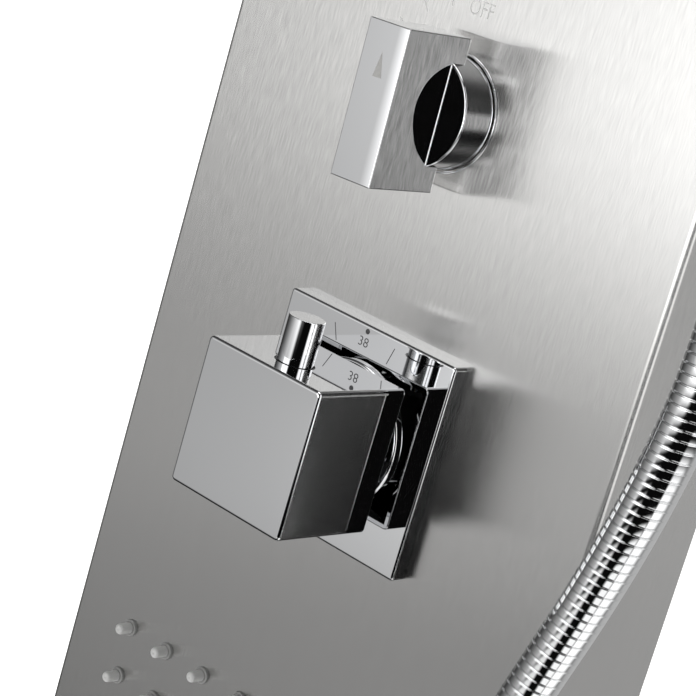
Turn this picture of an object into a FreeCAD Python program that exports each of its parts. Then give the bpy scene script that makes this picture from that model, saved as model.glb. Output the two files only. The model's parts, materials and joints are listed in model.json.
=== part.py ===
import FreeCAD, Part
import Sketcher
import math
import os
from FreeCAD import Placement, Rotation, Vector

# Shower panel column, millimetres, +Z up, +X to the right as seen from the front.
# The wall is the plane y = 0 and the column stands out of it towards -Y.
# Origin: middle of the four wall fixing holes, on the wall plane.

doc = FreeCAD.newDocument("ShowerPanelColumn")
sheet = doc.addObject("Spreadsheet::Sheet", "Dims")


class Q:
    """A number together with the sheet expression that gives it."""

    def __init__(self, v, e):
        self.v, self.e = float(v), e

    @staticmethod
    def of(x):
        return x if isinstance(x, Q) else Q(x, repr(round(float(x), 6)))

    def _op(self, o, sign, v):
        return Q(v, "(%s %s %s)" % (self.e, sign, o.e))

    def __add__(self, o):
        o = Q.of(o)
        return self._op(o, "+", self.v + o.v)

    def __radd__(self, o):
        return Q.of(o) + self

    def __sub__(self, o):
        o = Q.of(o)
        return self._op(o, "-", self.v - o.v)

    def __rsub__(self, o):
        return Q.of(o) - self

    def __mul__(self, o):
        o = Q.of(o)
        return self._op(o, "*", self.v * o.v)

    def __rmul__(self, o):
        return Q.of(o) * self

    def __truediv__(self, o):
        o = Q.of(o)
        return self._op(o, "/", self.v / o.v)

    def __neg__(self):
        return Q(-self.v, "(0 - %s)" % self.e)


row = [0]


def cell(alias, value, note=""):
    row[0] += 1
    n = row[0]
    sheet.set("A%d" % n, alias)
    sheet.set("B%d" % n, repr(value))
    sheet.set("C%d" % n, note)
    sheet.setAlias("B%d" % n, alias)
    return Q(value, "Dims." + alias)


# ---- driving dimensions -------------------------------------------------
CD = cell("casing_depth", 60.0, "front face to wall")
PW = cell("panel_width", 201.2)
PH = cell("panel_height", 1400.0)
PB = cell("panel_bottom", -665.0, "lower edge below the origin")
ST = cell("sheet_thick", 1.5)
BR = cell("bend_outer", 2.0)
WG = cell("wall_gap", 2.0)
LIP = cell("return_lip", 8.0)
TZ = cell("thermostat_z", -215.0, "thermostat axis")
DR = cell("diverter_rise", 110.7, "diverter axis above the thermostat axis")
CUBE = cell("cube_side", 50.0)
CUBF = cell("cube_front", 53.2, "front of the cube to the panel face")
CUBR = cell("cube_rear", 12.0)
CAV = cell("cube_cavity_rad", 19.0)
CAVS = cell("cube_rear_cavity_half", 23.4)
CAVD = cell("cube_rear_cavity_floor", 30.5)
CAVF = cell("cube_cavity_floor", 48.0)
RSQ = cell("rosette_side", 74.2)
RTH = cell("rosette_thick", 6.2)
BTR = cell("button_rad", 6.0)
BTY = cell("button_y", 39.0)
BTT = cell("button_top", 40.2)
STM = cell("stem_rad", 2.5)
BSHR = cell("bush_rad", 6.75)
BARW = cell("bar_width", 16.6)
BARL = cell("bar_length", 50.3)
BART = cell("bar_turn", 1.8, "the bar stands this far to the left of OFF")
BARF = cell("bar_front", 38.8)
BARB = cell("bar_rear", 8.3)
DSR = cell("disc_rad", 18.75)
DSF = cell("disc_front", 14.7)
SPR = cell("spindle_rad", 4.0)
NX0 = cell("nozzle_first_x", 14.4)
NPI = cell("nozzle_pitch", 19.1)
NZ0 = cell("nozzle_first_z", 106.8, "first row below the thermostat axis")
NHR = cell("nozzle_hole_rad", 3.1)
NCR = cell("nozzle_collar_rad", 2.85)
NTR = cell("nozzle_tip_rad", 2.15)
NLN = cell("nozzle_length", 6.7)
PIR = cell("pipe_rad", 7.5)
SPIR = cell("small_pipe_rad", 6.0)
PWALL = cell("pipe_wall", 1.2)
INX = cell("inlet_half_spacing", 75.0)
FXX = cell("fixing_spacing_x", 140.0)
FXZ = cell("fixing_spacing_z", 1230.0)
FXR = cell("fixing_hole_rad", 3.25)
OUX = cell("outlet_x", -62.0)
OUZ = cell("outlet_drop", 330.0, "outlet axis below the thermostat axis")
HGR = cell("half_inch_rad", 10.3)
HDX = cell("holder_x", 132.8)
HDY = cell("holder_y", -51.5, "socket centre from the panel face")
HDZ = cell("holder_rise", 225.0, "socket centre above the thermostat axis")
HDT = cell("holder_tilt", 15.0)
HBX = cell("holder_base_x", 84.0)
HOS = cell("hose_rad", 7.75)
ARZ = cell("arm_rise", 890.0, "arm axis above the thermostat axis")
ARL = cell("arm_reach", 380.0)
ARW = cell("arm_width", 30.0)
ARH = cell("arm_height", 15.0)
BLY = cell("ball_y", -350.0)
BLD = cell("ball_drop", 32.0, "ball centre below the arm axis")
BLR = cell("ball_rad", 11.0)
RHS = cell("rain_head_side", 220.0)
RHT = cell("rain_head_thick", 8.0)
RHD = cell("rain_head_drop", 24.0, "top of the head below the ball centre")
RNP = cell("rain_nozzle_pitch", 20.0)
doc.recompute()

nodes = []
AXES = {
    "z": Rotation(),
    "-z": Rotation(Vector(1, 0, 0), 180),
    "y": Rotation(Vector(1, 0, 0), -90),
    "-y": Rotation(Vector(1, 0, 0), 90),
    "x": Rotation(Vector(0, 1, 0), 90),
    "-x": Rotation(Vector(0, 1, 0), -90),
}


def put(o, prop, q):
    q = Q.of(q)
    o.setExpression(prop, q.e)


def at(o, x, y, z, axis="z"):
    o.Placement = Placement(Vector(Q.of(x).v, Q.of(y).v, Q.of(z).v), AXES[axis])
    put(o, "Placement.Base.x", x)
    put(o, "Placement.Base.y", y)
    put(o, "Placement.Base.z", z)
    return o


def box(x0, x1, y0, y1, z0, z1, name="Block"):
    o = doc.addObject("Part::Box", name)
    put(o, "Length", Q.of(x1) - x0)
    put(o, "Width", Q.of(y1) - y0)
    put(o, "Height", Q.of(z1) - z0)
    return at(o, x0, y0, z0)


def cyl(axis, x, y, z, r, length, name="Round"):
    o = doc.addObject("Part::Cylinder", name)
    put(o, "Radius", r)
    put(o, "Height", length)
    return at(o, x, y, z, axis)


def cone(axis, x, y, z, r1, r2, length, name="Taper"):
    o = doc.addObject("Part::Cone", name)
    put(o, "Radius1", r1)
    put(o, "Radius2", r2)
    put(o, "Height", length)
    return at(o, x, y, z, axis)


def ball(x, y, z, r, name="Ball"):
    o = doc.addObject("Part::Sphere", name)
    put(o, "Radius", r)
    return at(o, x, y, z)


def fuse(*parts, name="Union"):
    o = doc.addObject("Part::MultiFuse", name)
    o.Shapes = list(parts)
    return o


def cut(base, *tools, name="Difference"):
    o = doc.addObject("Part::Cut", name)
    o.Base = base
    o.Tool = tools[0] if len(tools) == 1 else fuse(*tools, name="Tools")
    return o


def common(a, b, name="Intersection"):
    o = doc.addObject("Part::Common", name)
    o.Base, o.Tool = a, b
    return o


def group(*parts, name="Group"):
    o = doc.addObject("Part::Compound", name)
    o.Links = list(parts)
    return o


def tube(axis, x, y, z, r_out, r_in, length, name="Ring"):
    return cut(cyl(axis, x, y, z, r_out, length), cyl(axis, x, y, z, r_in, length), name=name)


def edges_where(shape, test):
    return [i + 1 for i, e in enumerate(shape.Edges) if test(e)]


def rounded(base, r, test, name="Rounded", kind="Part::Fillet"):
    doc.recompute()
    o = doc.addObject(kind, name)
    o.Base = base
    o.Edges = [(i, float(r), float(r)) for i in edges_where(base.Shape, test)]
    return o


def along(e, axis, tol=1e-6):
    """A straight edge parallel to an axis."""
    if len(e.Vertexes) != 2 or e.Curve.TypeId != "Part::GeomLine":
        return False
    d = e.Vertexes[1].Point - e.Vertexes[0].Point
    n = d.Length
    return n > tol and abs(abs(d.dot(axis)) / n - 1) < 1e-6


def flat_at(e, axis, value, tol=1e-4):
    """All of an edge lies in the plane axis = value."""
    b = e.BoundBox
    lo, hi = (b.XMin, b.XMax) if axis == "x" else (b.YMin, b.YMax) if axis == "y" else (b.ZMin, b.ZMax)
    return abs(lo - value) < tol and abs(hi - value) < tol


def place(o, label, x=0, y=0, z=0, tilt=None):
    """Name a sub-part and put it in the column's frame."""
    o.Label = label
    if tilt is not None:
        o.Placement = Placement(Vector(Q.of(x).v, Q.of(y).v, Q.of(z).v), Rotation(Vector(1, 0, 0), tilt.v))
        o.setExpression("Placement.Rotation.Angle", tilt.e)
        put(o, "Placement.Base.x", x)
        put(o, "Placement.Base.y", y)
        put(o, "Placement.Base.z", z)
    else:
        at(o, x, y, z)
    nodes.append(o)
    return o


# Frames of the groups: the front face plane on the thermostat axis, and so on.
def on_face(o, label, rise=0, x=0):
    return place(o, label, x, -CD, TZ + rise)


# ---- sketch helpers ------------------------------------------------------
def plane_of(body, role):
    for f in body.Origin.OriginFeatures:
        if f.Role == role:
            return f
    raise ValueError(role)


def new_body(name):
    return doc.addObject("PartDesign::Body", name)


def new_sketch(body, role, offset=0, name="Sketch"):
    sk = body.newObject("Sketcher::SketchObject", name)
    sk.AttachmentSupport = [(plane_of(body, role), "")]
    sk.MapMode = "FlatFace"
    q = Q.of(offset)
    if q.v:
        sk.AttachmentOffset = Placement(Vector(0, 0, q.v), Rotation())
        sk.setExpression("AttachmentOffset.Base.z", q.e)
    return sk


def pin_point(sk, geo, pos, x, y, tag):
    for kind, q, axis in (("DistanceX", Q.of(x), -2), ("DistanceY", Q.of(y), -1)):
        if abs(q.v) < 1e-9:
            sk.addConstraint(Sketcher.Constraint("PointOnObject", geo, pos, axis))
        else:
            i = sk.addConstraint(Sketcher.Constraint(kind, -1, 1, geo, pos, q.v))
            nm = "%s_%s" % (tag, kind[-1].lower())
            sk.renameConstraint(i, nm)
            sk.setExpression("Constraints." + nm, q.e)


def outline(sk, pts, tag="p"):
    """A closed polygon whose corners are bound to the sheet."""
    pts = [(Q.of(x), Q.of(y)) for x, y in pts]
    first = sk.GeometryCount
    n = len(pts)
    for i in range(n):
        (x0, y0), (x1, y1) = pts[i], pts[(i + 1) % n]
        sk.addGeometry(Part.LineSegment(Vector(x0.v, y0.v, 0), Vector(x1.v, y1.v, 0)), False)
    for i in range(n):
        sk.addConstraint(Sketcher.Constraint("Coincident", first + i, 2, first + (i + 1) % n, 1))
    for i in range(n):
        pin_point(sk, first + i, 1, pts[i][0], pts[i][1], "%s%d" % (tag, i))


def rect(sk, x0, x1, y0, y1, tag="p"):
    outline(sk, [(x0, y0), (x1, y0), (x1, y1), (x0, y1)], tag)


def circle(sk, x, y, r, tag):
    x, y, r = Q.of(x), Q.of(y), Q.of(r)
    g = sk.addGeometry(Part.Circle(Vector(x.v, y.v, 0), Vector(0, 0, 1), r.v), False)
    pin_point(sk, g, 3, x, y, tag)
    i = sk.addConstraint(Sketcher.Constraint("Radius", g, r.v))
    sk.renameConstraint(i, tag + "_r")
    sk.setExpression("Constraints.%s_r" % tag, r.e)


def pad(body, sk, length, reverse=False):
    o = body.newObject("PartDesign::Pad", "Pad")
    o.Profile = sk
    put(o, "Length", length)
    o.Reversed = reverse
    doc.recompute()
    return o


def pocket(body, sk, length=None, reverse=False, both=False):
    before = body.Shape.Volume
    o = body.newObject("PartDesign::Pocket", "Pocket")
    o.Profile = sk
    if length is None:
        o.Type = "ThroughAll"
    else:
        put(o, "Length", length)
    o.Reversed = reverse
    if both:
        o.Midplane = True
    doc.recompute()
    if not body.Shape.Volume < before - 0.01:
        raise RuntimeError("pocket in %s removed nothing" % body.Name)
    return o


def dress(body, kind, size, test):
    base = body.Tip
    picked = ["Edge%d" % i for i in edges_where(base.Shape, test)]
    if not picked:
        raise RuntimeError("no edges in " + body.Name)
    o = body.newObject("PartDesign::" + kind, kind)
    o.Base = (base, picked)
    put(o, "Radius" if kind == "Fillet" else "Size", size)
    doc.recompute()
    return o


EX, EY, EZ = Vector(1, 0, 0), Vector(0, 1, 0), Vector(0, 0, 1)

# ==== casing ===============================================================
# Folded front panel: front face and two side flanges.
HW = PW / 2
b = new_body("FrontPanel")
s = new_sketch(b, "XY_Plane")
outline(s, [
    (-HW, -WG), (-HW, -CD), (HW, -CD), (HW, -WG),
    (HW - ST, -WG), (HW - ST, -CD + ST), (-HW + ST, -CD + ST), (-HW + ST, -WG),
])
pad(b, s, PH)
dress(b, "Fillet", BR, lambda e: along(e, EZ) and abs(abs(e.BoundBox.Center.x) - HW.v) < 1e-4 and abs(e.BoundBox.Center.y + CD.v) < 1e-4)
dress(b, "Fillet", BR - ST, lambda e: along(e, EZ) and abs(abs(e.BoundBox.Center.x) - HW.v + ST.v) < 1e-4 and abs(e.BoundBox.Center.y + CD.v - ST.v) < 1e-4)
s = new_sketch(b, "XZ_Plane")
ZL = TZ - PB
circle(s, 0, ZL, 15.5, "thermostat")
circle(s, 0, ZL + DR, 11.0, "diverter")
circle(s, OUX, ZL - OUZ, HGR + 0.2, "outlet")
circle(s, 0, ZL + ARZ, HGR + 0.2, "arm")
circle(s, HBX, ZL + HDZ + 17, 2.75, "screw_a")
circle(s, HBX, ZL + HDZ - 17, 2.75, "screw_b")
cols = [NX0 + NPI * i for i in range(4)]
rows = [NZ0 + NPI * i for i in range(4)]
for i, cx in enumerate(cols):
    for j, rz in enumerate(rows):
        circle(s, cx, ZL - rz, NHR, "r%d%d" % (i, j))
        circle(s, -cx, ZL - rz, NHR, "l%d%d" % (i, j))
pocket(b, s, both=True)
place(b, "front_panel", 0, 0, PB)

# End caps: plates that close the casing at the top and the bottom.
caps = []
for z in (Q.of(0), PH - 2):
    caps.append(box(-HW + ST + 0.25, HW - ST - 0.25, -CD + ST + 0.25, -WG - ST - 0.1, z, z + 2, "Cap"))
place(group(*caps), "end_caps", 0, 0, PB)

# Strips that stiffen the rear edges of the flanges.
strips = [box(a, c, -WG - ST, -WG, 0, PH, "Strip") for a, c in ((HW - LIP, HW - ST - 0.03), (-HW + ST + 0.03, -HW + LIP))]
place(group(*strips), "edge_strips", 0, 0, PB)

# Hanger rails inside the panel hook over the wall brackets. Two of each.
zu, zl = FXZ / 2, -FXZ / 2


def hanger(z):
    web = box(-HW + ST + 0.05, HW - ST - 0.05, -16.0, -14.0, z - 10, z + 34)
    hook = box(-85, 85, -14.0, -4.0, z + 32, z + 34)
    lip = box(-85, 85, -6.0, -4.0, z + 22, z + 32)
    return fuse(web, hook, lip, name="Hanger")


def bracket(z):
    plate = box(-85, 85, -3.0, 0, z - 20, z + 20)
    shelf = box(-85, 85, -10.0, -3.0, z + 17, z + 20)
    up = box(-85, 85, -10.0, -7.0, z + 20, z + 31.9)
    h = [cyl("y", FXX / 2 * k, -4, z, FXR, 5) for k in (-1, 1)]
    return cut(fuse(plate, shelf, up), *h, name="Bracket")


place(group(hanger(zu), hanger(zl)), "hanger_rails")
place(group(bracket(zu), bracket(zl)), "wall_brackets")

# ==== thermostat, in the frame of its axis on the panel face ===============
block = box(-30, 30, 14, 50, -24, 24)
boss = cyl("y", 0, ST, 0, 21, 14 - ST)
neck = cyl("y", 0, -4, 0, 15, 10)
ports = [cyl("-x", -29, 32, 0, 13, 7), cyl("x", 29, 32, 0, 13, 7)]
housing = fuse(block, boss, neck, *ports)
bores = [
    cyl("y", 0, -5, 0, 12, 51),
    cyl("x", -37, 32, 0, 6, 74),
    cyl("z", 0, 32, 0, PIR - PWALL, 30),
]
on_face(cut(housing, *bores), "thermostat_body")
on_face(cut(cyl("y", 0, -12, 0, 11.9, 57.8), cyl("y", 0, -13, 0, SPR + 0.05, 24)), "thermostat_cartridge")

# Stop sleeve: carries the rib that ends the handle's travel both ways.
sleeve = fuse(tube("-y", 0, -12.05, 0, 11, 7.2, 29.95), tube("-y", 0, -12.05, 0, 11.9, 6.5, 4))
rib = doc.addObject("Part::Cylinder", "Rib")
put(rib, "Radius", 17)
put(rib, "Height", 6)
put(rib, "Angle", 137)
# The sector starts 59 degrees to the left of the top, seen from the front.
rib.Placement = Placement(Vector(0, -36, 0), AXES["-y"] * Rotation(Vector(0, 0, 1), 90 + 59))
rib_ring = cut(rib, cyl("-y", 0, -35, 0, 10.5, 8))
on_face(fuse(sleeve, rib_ring), "stop_sleeve")

# Collar: a sleeve through the cover plate with a rounded flange in front of it.
flange = rounded(cyl("-y", 0, -RTH - 0.05, 0, 24.9, 2.0), 1.0, lambda e: flat_at(e, "y", -RTH.v - 2.05))
sleeve = cyl("-y", 0, -0.1, 0, 18, 14.4)
on_face(cut(fuse(sleeve, flange), cyl("-y", 0, 1, 0, 15.1, 20)), "thermostat_collar")

# Square cover plate with a rounded front edge.
HR = RSQ / 2
b = new_body("Rosette")
s = new_sketch(b, "XZ_Plane")
rect(s, -HR, HR, -HR, HR)
pad(b, s, RTH)
dress(b, "Fillet", 1.2, lambda e: along(e, EY))
dress(b, "Fillet", 0.9, lambda e: flat_at(e, "y", -RTH.v))
s = new_sketch(b, "XZ_Plane")
circle(s, 0, 0, 18.2, "hole")
pocket(b, s, both=True)
s = new_sketch(b, "XZ_Plane")
rect(s, -HR + 4, HR - 4, -HR + 4, HR - 4)
pocket(b, s, 3.5, reverse=True)
on_face(b, "temperature_rosette")
on_face(tube("-y", 0, -0.05, 0, 30, 18.6, 3.35), "rosette_seal")

# Cube handle: a thick-walled shell, open at the rear.
HC = CUBE / 2
b = new_body("CubeHandle")
s = new_sketch(b, "XZ_Plane", CUBR)
rect(s, -HC, HC, -HC, HC)
pad(b, s, CUBF - CUBR)
dress(b, "Fillet", 1.6, lambda e: along(e, EY))
dress(b, "Fillet", 1.0, lambda e: flat_at(e, "y", -CUBF.v))
dress(b, "Fillet", 0.4, lambda e: flat_at(e, "y", -CUBR.v))
s = new_sketch(b, "XZ_Plane", CUBR)
rect(s, -CAVS, CAVS, -CAVS, CAVS)
pocket(b, s, CAVD - CUBR, reverse=True)
s = new_sketch(b, "XZ_Plane", CUBR)
circle(s, 0, 0, CAV, "cavity")
pocket(b, s, CAVF - CUBR, reverse=True)
s = new_sketch(b, "XY_Plane")
circle(s, 0, -BTY, BSHR, "bush")
pocket(b, s, HC + 2, reverse=True)
s = new_sketch(b, "XY_Plane")
circle(s, 0, -46.2, 1.55, "grub")
pocket(b, s, HC + 2)
on_face(b, "temperature_handle")

hub = fuse(cyl("-y", 0, -44.5, 0, 17, 3.5), cyl("-y", 0, -20, 0, 6, 25))
on_face(cut(hub, cyl("-y", 0, -19, 0, SPR + 0.02, 26), cyl("-z", 0, -46.2, -11.9, 1.52, 10)), "handle_hub")
on_face(group(cyl("-y", 0, 8, 0, SPR, 51)), "thermostat_spindle")
on_face(group(cyl("-z", 0, -46.2, -12, 1.5, 12.4)), "handle_grub_screw")

# Guide bush of the safety button, set just under the cube's top face.
bush = cyl("z", 0, -BTY, 17.6, BSHR - 0.02, 7.0)
on_face(cut(bush, cyl("z", 0, -BTY, 19, BTR + 0.05, 8), cyl("z", 0, -BTY, 17, STM + 0.05, 4)), "button_guide")
head = rounded(cyl("z", 0, -BTY, 24, BTR, BTT - 24), 0.25, lambda e: flat_at(e, "z", BTT.v))
stem = cyl("z", 0, -BTY, 14, STM, 10.5)
clip = cyl("z", 0, -BTY, 16.7, STM + 0.8, 0.8)
on_face(fuse(head, stem, clip), "safety_button")

# Return spring of the button: round wire, three and a half coils.
coil = doc.addObject("Part::Helix", "SpringPath")
coil.Radius, coil.Pitch, coil.Height = 4.4, 1.2, 4.2
wire = doc.addObject("Part::Circle", "SpringWire")
wire.Radius = 0.3
wire.Placement = Placement(Vector(4.4, 0, 0), AXES["-y"])
spring = doc.addObject("Part::Sweep", "Spring")
spring.Sections = [wire]
spring.Spine = (coil, ["Edge1"])
spring.Solid = True
spring.Frenet = True
place(spring, "button_spring", 0, -CD - BTY, TZ + 19.4)

# Water supply: check valves, feed pipes and union nuts facing the wall.
on_face(group(tube("-x", -36.05, 32, 0, 11, 6, 13.9), tube("x", 36.05, 32, 0, 11, 6, 13.9)), "check_valves")


def bend_path(points, ratio=0.45, radius=None):
    """Straight runs joined by tangent arcs. Returns the wire, its radii and its length."""
    edges, radii = [], []
    last = points[0]
    for i in range(1, len(points) - 1):
        a, p, c = points[i - 1], points[i], points[i + 1]
        u, w = (p - a), (c - p)
        la, lc = u.Length, w.Length
        u.normalize()
        w.normalize()
        turn = u.getAngle(w)
        r = radius if radius else ratio * min(la, lc) / math.tan(turn / 2)
        t = r * math.tan(turn / 2)
        p0, p1 = p - u * t, p + w * t
        bis = (w - u)
        bis.normalize()
        mid = p + bis * (r / math.cos(turn / 2) - r)
        if (p0 - last).Length > 1e-6:
            edges.append(Part.LineSegment(last, p0).toShape())
        edges.append(Part.Arc(p0, mid, p1).toShape())
        radii.append(round(r, 1))
        last = p1
    edges.append(Part.LineSegment(last, points[-1]).toShape())
    path = Part.Wire(edges)
    return path, radii, path.Length


def swept(points, r, ratio=0.45, radius=None):
    path, radii, length = bend_path(points, ratio, radius)
    d = points[1] - points[0]
    ring = Part.Wire([Part.Circle(points[0], d, r).toShape()])
    return path.makePipeShell([ring], True, True), radii, length


def pipe(label, points, r_out, wall, bend):
    """A bent tube, sizes from the sheet, drawn in the column's frame."""
    outer, _, _ = swept(points, r_out, radius=bend)
    inner, _, _ = swept(points, r_out - wall, radius=bend)
    o = doc.addObject("Part::Feature", label)
    o.Shape = outer.cut(inner)
    o.Label = label
    nodes.append(o)
    return o


def L(x, y, z):
    """From the thermostat frame on the panel face to the column's frame."""
    return Vector(Q.of(x).v, Q.of(y).v - CD.v, Q.of(z).v + TZ.v)


for side, nm in ((-1, "hot_feed_pipe"), (1, "cold_feed_pipe")):
    pipe(nm, [L(50 * side, 32, 0), L(INX.v * side, 32, 0), L(INX.v * side, 50.5, 0)], PIR.v, PWALL.v, 15.0)


def union(x):
    hexa = doc.addObject("Part::Prism", "Hex")
    hexa.Polygon = 6
    put(hexa, "Circumradius", 15.6)
    put(hexa, "Height", 10.5)
    at(hexa, x, 47.5, 0, "y")
    return cut(hexa, cyl("y", x, 47, 0, PIR + 0.1, 4), cyl("y", x, 50.5, 0, 12.06, 8))


on_face(group(union(-INX), union(INX)), "union_nuts")
on_face(tube("z", 0, 32, 24.02, PIR, PIR - PWALL, DR - 22 - 24.04), "mixed_water_pipe")

# ==== diverter, in the frame of its axis on the panel face =================
block = box(-24, 24, 10, 48, -22, 22)
boss = cyl("y", 0, ST, 0, 18, 10 - ST)
neck = cyl("y", 0, -4.5, 0, 10.5, 10)
ports = [cyl("-x", -23, 17, 0, 7, 7), cyl("x", 23, 17, 0, 7, 7)]
bores = [
    cyl("y", 0, -5, 0, 8, 49),
    cyl("x", -31, 17, 0, SPIR - PWALL, 62),
    cyl("z", 0, 31, -23, PIR - PWALL, 46),
]
on_face(cut(fuse(block, boss, neck, *ports), *bores), "diverter_body", DR)
on_face(cut(cyl("y", 0, -6, 0, 7.9, 49.9), cyl("y", 0, -7, 0, SPR + 0.05, 18)), "diverter_cartridge", DR)
on_face(tube("-y", 0, -0.05, 0, 13.5, 10.6, 4.35), "diverter_ring_nut", DR)
on_face(rounded(tube("-y", 0, -0.02, 0, 19.9, 19.0, 0.6), 0.35, lambda e: flat_at(e, "y", -0.62)), "diverter_bezel", DR)

def turned(o):
    """Turn a piece about the diverter's axis, to the left seen from the front."""
    o.Placement = Placement(Vector(), Rotation(Vector(0, -1, 0), BART.v))
    o.setExpression("Placement.Rotation.Angle", BART.e)
    return group(o)


disc = rounded(cyl("-y", 0, -0.6, 0, DSR, DSF - 0.6), 0.6, lambda e: flat_at(e, "y", -DSF.v))
disc = cut(
    disc,
    box(-BARW / 2 - 0.03, BARW / 2 + 0.03, -DSF - 1, -BARB + 0.03, -25, 25),
    cyl("-y", 0, 0, 0, 15, 7.3),
    cyl("-y", 0, 0, 0, SPR + 0.02, 10),
)
disc = rounded(disc, 0.25, lambda e: flat_at(e, "y", -DSF.v) and along(e, EZ), kind="Part::Chamfer")
on_face(turned(disc), "diverter_disc", DR)

b = new_body("DiverterBar")
s = new_sketch(b, "XZ_Plane", BARB)
rect(s, -BARW / 2, BARW / 2, -BARL / 2, BARL / 2)
pad(b, s, BARF - BARB)
dress(b, "Fillet", 0.35, lambda e: True)
s = new_sketch(b, "XZ_Plane", BARB)
circle(s, 0, 0, SPR + 0.02, "spindle")
pocket(b, s, 17.7, reverse=True)
s = new_sketch(b, "XY_Plane")
circle(s, 0, -20, 2.0, "grub")
pocket(b, s, BARL / 2 + 2)
on_face(turned(b), "diverter_bar", DR)
on_face(group(cyl("-y", 0, 9.5, 0, SPR, 35)), "diverter_spindle", DR)
on_face(turned(cut(cyl("-z", 0, -20, -4.1, 1.95, 19.8), cyl("-z", 0, -20, -22.5, 1.0, 3))), "diverter_grub_screw", DR)

# ==== pipes inside the casing ==============================================
jz = NZ0.v + 1.5 * NPI.v
pipe("jets_pipe", [L(-30.05, 17, DR.v), L(-90, 17, DR.v), L(-90, 17, -jz), L(-76.1, 17, -jz)], SPIR.v, PWALL.v, 12.0)
pipe("hand_shower_pipe",
     [L(30.05, 17, DR.v), L(90, 17, DR.v), L(90, 17, -240), L(OUX, 17, -240), L(OUX, 17, -OUZ.v + 14.1)],
     SPIR.v, PWALL.v, 14.0)
on_face(tube("z", 0, 31, DR + 22.02, PIR, PIR - PWALL, ARZ - 14.04 - DR - 22), "rain_pipe")

# ==== body jets ============================================================
mx, mz0, mz1 = 76, -jz - 39, -jz + 39
plate = box(-mx, mx, 3.1, 5.1, mz0, mz1)
holes = [cyl("y", sx * c.v, 2, -r.v, 1.6, 5) for c in cols for r in rows for sx in (-1, 1)]
on_face(cut(plate, *holes), "manifold_plate")
shell = cut(box(-mx, mx, 5.15, 24, mz0, mz1), box(-mx + 2, mx - 2, 5, 22, mz0 + 2, mz1 - 2), cyl("x", -mx - 1, 17, -jz, 5, 5))
on_face(shell, "manifold_chamber")


def nozzle_shape(base_r, collar_r, tip_r, length, collar, bore):
    """One soft nozzle pointing along -Z from z = 0."""
    pts = [(bore, 0), (base_r, 0), (base_r, 0.01), (collar_r, 0.02), (collar_r, collar - 0.3), (collar_r - 0.3, collar),
           (tip_r + 0.05, collar), (tip_r, collar + 0.6), (tip_r, length - 0.7), (tip_r - 0.25, length - 0.2), (tip_r - 0.8, length),
           (bore, length)]
    poly = [Vector(x, 0, -z) for x, z in pts]
    face = Part.Face(Part.makePolygon(poly + [poly[0]]))
    return face.revolve(Vector(0, 0, 0), Vector(0, 0, 1), 360)


# Silicone mat behind the panel with one nozzle through every hole.
mat = Part.makeBox(2 * mx, 1.5, mz1 - mz0, Vector(-mx, 1.55, mz0))
one = nozzle_shape(NCR.v + 0.1, NCR.v, NTR.v, NLN.v + 2.0, 3.2, 0.55)
one.rotate(Vector(0, 0, 0), Vector(1, 0, 0), -90)
noz = []
for c in cols:
    for r in rows:
        for sx in (-1, 1):
            k = one.copy()
            k.translate(Vector(sx * c.v, 2.0, -r.v))
            noz.append(k)
if noz[0].BoundBox.YMin > -1:
    raise RuntimeError("the nozzles point the wrong way")
mat = mat.fuse(noz)
cuts = [Part.makeCylinder(0.55, 4, Vector(sx * c.v, 0, -r.v), Vector(0, 1, 0)) for c in cols for r in rows for sx in (-1, 1)]
mat = mat.cut(Part.makeCompound(cuts)).removeSplitter()
o = doc.addObject("Part::Feature", "BodyNozzles")
o.Shape = mat
on_face(o, "body_nozzle_mat")

# ==== hand shower outlet ====================================================
o_z = -OUZ
b = new_body("OutletRosette")
s = new_sketch(b, "XZ_Plane")
rect(s, -25, 25, -25, 25)
pad(b, s, 6)
dress(b, "Fillet", 1.2, lambda e: along(e, EY))
dress(b, "Chamfer", 0.7, lambda e: flat_at(e, "y", -6))
s = new_sketch(b, "XZ_Plane")
circle(s, 0, 0, HGR + 0.1, "hole")
pocket(b, s, both=True)
on_face(b, "outlet_rosette", o_z, OUX)
elbow = rounded(box(-12.5, 12.5, -44, -6.02, -12.5, 12.5), 0.8, lambda e: True)
elbow = fuse(elbow, cyl("y", 0, -7, 0, HGR, 11), cyl("-z", 0, -30, -12, HGR, 12.5))
on_face(cut(elbow, cyl("y", 0, -30, 0, 6, 35), cyl("-z", 0, -30, 0, 6, 26)), "outlet_elbow", o_z, OUX)
on_face(cut(box(-14, 14, 4.05, 30, -14, 14), cyl("y", 0, 3, 0, 6, 20), cyl("z", 0, 17, 0, SPIR - PWALL, 16)), "outlet_connector", o_z, OUX)
on_face(tube("-z", 0, -30, -24.6, HGR - 0.1, 6, 1.4), "outlet_washer", o_z, OUX)
nut = fuse(
    rounded(cyl("-z", 0, -30, -13, 12.5, 20), 0.6, lambda e: flat_at(e, "z", -13) or flat_at(e, "z", -33), kind="Part::Chamfer"),
    cone("-z", 0, -30, -32.9, 11.6, 8.4, 12.1),
)
on_face(cut(nut, cyl("-z", 0, -30, -12, HGR + 0.05, 14.05), cyl("-z", 0, -30, -20, 4.5, 26)), "hose_nut", o_z, OUX)

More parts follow.
